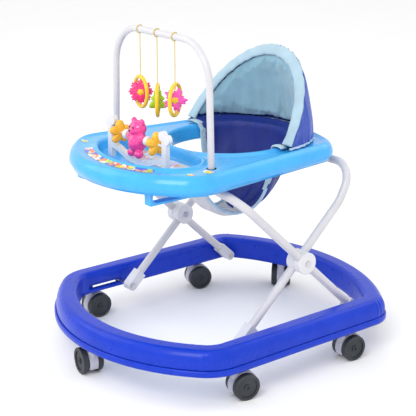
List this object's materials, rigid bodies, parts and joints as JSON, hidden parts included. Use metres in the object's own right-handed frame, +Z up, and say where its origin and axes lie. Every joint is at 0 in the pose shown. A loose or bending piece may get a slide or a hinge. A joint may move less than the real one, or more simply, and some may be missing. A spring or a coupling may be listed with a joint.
{
  "type": "baby walker",
  "caption": "Wheeled baby walker: bowed ring base on swivel casters, folding X legs, play tray with toy arch and console, fabric sling seat with high back.",
  "frame": {"origin": "on the floor, under the middle of the ring base", "axes": "+X to the seated child's left, -Y forwards over the play tray, +Z up"},
  "size_m": [0.5312, 0.6422, 0.6353],
  "materials": {
    "royal_blue_plastic": "glossy moulded",
    "blue_plastic": "glossy moulded",
    "white_plastic": "semi-gloss moulded",
    "white_tube": "powder coated steel tube",
    "bare_steel": "zinc plated",
    "sky_blue_plastic": "glossy moulded",
    "amber_plastic": "glossy moulded",
    "pink_plastic": "glossy moulded",
    "green_plastic": "glossy moulded",
    "yellow_plastic": "glossy moulded",
    "yellow_string": "twisted cord",
    "royal_fabric": "satin weave",
    "teal_fabric": "plain weave",
    "navy_fabric": "plain weave",
    "white_mesh": "open mesh",
    "grey_plastic": "semi-gloss moulded",
    "wheel_rubber": "satin moulded"
  },
  "bodies": {
    "base": {"base_ring": "royal_blue_plastic", "slide_tracks": "blue_plastic", "rear_hinge_brackets": "blue_plastic", "rear_hinge_pins": "bare_steel", "caster_sockets": "blue_plastic"},
    "outer_legs": {"outer_leg_frame": "white_tube", "outer_pivot_discs": "white_plastic", "pivot_rivets": "bare_steel", "rear_foot_caps": "white_plastic"},
    "inner_legs": {"inner_leg_frame": "white_tube", "inner_pivot_discs": "white_plastic", "front_foot_caps": "white_plastic", "slider_pins": "bare_steel"},
    "tray": {"tray": "sky_blue_plastic", "front_slide_brackets": "white_plastic", "rear_bar_clips": "white_plastic", "toy_arch": "white_tube", "arch_sockets": "white_plastic", "console_frame": "white_plastic", "console_rod": "bare_steel", "console_spools": "white_plastic", "seat_backrest": "royal_fabric", "backrest_liner": "teal_fabric", "seat_hoop": "bare_steel", "seat_sling": "navy_fabric", "crotch_panel": "white_mesh"},
    "star_left": {"star_left": "amber_plastic"},
    "star_right": {"star_right": "amber_plastic"},
    "bear": {"bear": "pink_plastic"},
    "toy_right": {"toy_string_right": "yellow_string", "toy_ring_right": "yellow_plastic"},
    "figure_right": {"toy_figure_right": "pink_plastic"},
    "toy_middle": {"toy_string_middle": "yellow_string", "toy_ring_middle": "yellow_plastic"},
    "figure_middle": {"toy_figure_middle": "green_plastic"},
    "toy_left": {"toy_string_left": "yellow_string", "toy_ring_left": "yellow_plastic"},
    "figure_left": {"toy_figure_left": "pink_plastic"},
    "fork_front": {"caster_fork_front": "grey_plastic"},
    "wheels_front": {"caster_wheels_front": "wheel_rubber"},
    "fork_front_left": {"caster_fork_front_left": "grey_plastic"},
    "wheels_front_left": {"caster_wheels_front_left": "wheel_rubber"},
    "fork_front_right": {"caster_fork_front_right": "grey_plastic"},
    "wheels_front_right": {"caster_wheels_front_right": "wheel_rubber"},
    "fork_rear_left": {"caster_fork_rear_left": "grey_plastic"},
    "wheels_rear_left": {"caster_wheels_rear_left": "wheel_rubber"},
    "fork_rear_right": {"caster_fork_rear_right": "grey_plastic"},
    "wheels_rear_right": {"caster_wheels_rear_right": "wheel_rubber"},
    "fork_back_left": {"caster_fork_back_left": "grey_plastic"},
    "wheels_back_left": {"caster_wheels_back_left": "wheel_rubber"},
    "fork_back_right": {"caster_fork_back_right": "grey_plastic"},
    "wheels_back_right": {"caster_wheels_back_right": "wheel_rubber"}
  },
  "joints": [
    {"name": "fold", "type": "hinge", "parent": "base", "child": "outer_legs", "pos_m": [0, 0.19, 0.073], "axis": [1, 0, 0], "range_deg": [0, 23.46]},
    {"name": "leg_cross", "type": "hinge", "parent": "outer_legs", "child": "inner_legs", "pos_m": [0, 0.052, 0.202], "axis": [1, 0, 0], "range_deg": [-47.32, 0]},
    {"name": "tray_bar", "type": "hinge", "parent": "inner_legs", "child": "tray", "pos_m": [0, 0.19, 0.364], "axis": [1, 0, 0], "range_deg": [0, 25.7]},
    {"name": "star_left_spin", "type": "hinge", "parent": "tray", "child": "star_left", "pos_m": [0.058, -0.185, 0.441], "axis": [1, 0, 0], "continuous": true},
    {"name": "star_right_spin", "type": "hinge", "parent": "tray", "child": "star_right", "pos_m": [-0.058, -0.185, 0.441], "axis": [1, 0, 0], "continuous": true},
    {"name": "bear_spin", "type": "hinge", "parent": "tray", "child": "bear", "pos_m": [0, -0.185, 0.441], "axis": [1, 0, 0], "continuous": true},
    {"name": "toy_right_swing", "type": "hinge", "parent": "tray", "child": "toy_right", "pos_m": [-0.064, -0.132, 0.627], "axis": [1, 0, 0], "range_deg": [-18, 30]},
    {"name": "figure_right_spin", "type": "hinge", "parent": "toy_right", "child": "figure_right", "pos_m": [-0.064, -0.132, 0.5095], "axis": [0, 0, 1], "continuous": true},
    {"name": "toy_middle_swing", "type": "hinge", "parent": "tray", "child": "toy_middle", "pos_m": [-0.01, -0.132, 0.627], "axis": [1, 0, 0], "range_deg": [-8, 30]},
    {"name": "figure_middle_spin", "type": "hinge", "parent": "toy_middle", "child": "figure_middle", "pos_m": [-0.01, -0.132, 0.5025], "axis": [0, 0, 1], "continuous": true},
    {"name": "toy_left_swing", "type": "hinge", "parent": "tray", "child": "toy_left", "pos_m": [0.044, -0.132, 0.627], "axis": [1, 0, 0], "range_deg": [-18, 30]},
    {"name": "figure_left_spin", "type": "hinge", "parent": "toy_left", "child": "figure_left", "pos_m": [0.044, -0.132, 0.5125], "axis": [0, 0, 1], "continuous": true},
    {"name": "swivel_front", "type": "hinge", "parent": "base", "child": "fork_front", "pos_m": [0, -0.2975, 0.06], "axis": [0, 0, 1], "continuous": true},
    {"name": "roll_front", "type": "hinge", "parent": "fork_front", "child": "wheels_front", "pos_m": [-0.01674, -0.29455, 0.025], "axis": [0.1736, 0.9848, 0], "continuous": true},
    {"name": "swivel_front_left", "type": "hinge", "parent": "base", "child": "fork_front_left", "pos_m": [0.2405, -0.15, 0.06], "axis": [0, 0, 1], "continuous": true},
    {"name": "roll_front_left", "type": "hinge", "parent": "fork_front_left", "child": "wheels_front_left", "pos_m": [0.24403, -0.13337, 0.025], "axis": [0.9781, -0.2079, 0], "continuous": true},
    {"name": "swivel_front_right", "type": "hinge", "parent": "base", "child": "fork_front_right", "pos_m": [-0.2405, -0.15, 0.06], "axis": [0, 0, 1], "continuous": true},
    {"name": "roll_front_right", "type": "hinge", "parent": "fork_front_right", "child": "wheels_front_right", "pos_m": [-0.23961, -0.13302, 0.025], "axis": [0.9986, -0.0523, 0], "continuous": true},
    {"name": "swivel_rear_left", "type": "hinge", "parent": "base", "child": "fork_rear_left", "pos_m": [0.2405, 0.118, 0.06], "axis": [0, 0, 1], "continuous": true},
    {"name": "roll_rear_left", "type": "hinge", "parent": "fork_rear_left", "child": "wheels_rear_left", "pos_m": [0.24228, 0.13491, 0.025], "axis": [0.9945, -0.1045, 0], "continuous": true},
    {"name": "swivel_rear_right", "type": "hinge", "parent": "base", "child": "fork_rear_right", "pos_m": [-0.2405, 0.118, 0.06], "axis": [0, 0, 1], "continuous": true},
    {"name": "roll_rear_right", "type": "hinge", "parent": "fork_rear_right", "child": "wheels_rear_right", "pos_m": [-0.23581, 0.13434, 0.025], "axis": [0.9613, -0.2756, 0], "continuous": true},
    {"name": "swivel_back_left", "type": "hinge", "parent": "base", "child": "fork_back_left", "pos_m": [0.118, 0.27681, 0.06], "axis": [0, 0, 1], "continuous": true},
    {"name": "roll_back_left", "type": "hinge", "parent": "fork_back_left", "child": "wheels_back_left", "pos_m": [0.12381, 0.29279, 0.025], "axis": [0.9397, -0.342, 0], "continuous": true},
    {"name": "swivel_back_right", "type": "hinge", "parent": "base", "child": "fork_back_right", "pos_m": [-0.118, 0.27681, 0.06], "axis": [0, 0, 1], "continuous": true},
    {"name": "roll_back_right", "type": "hinge", "parent": "fork_back_right", "child": "wheels_back_right", "pos_m": [-0.13002, 0.28884, 0.025], "axis": [0.7071, 0.7071, 0], "continuous": true}
  ],
  "couplings": [
    {"joint": "leg_cross", "follows": "fold", "ratio": -2},
    {"joint": "tray_bar", "follows": "fold", "ratio": 1.0827}
  ]
}
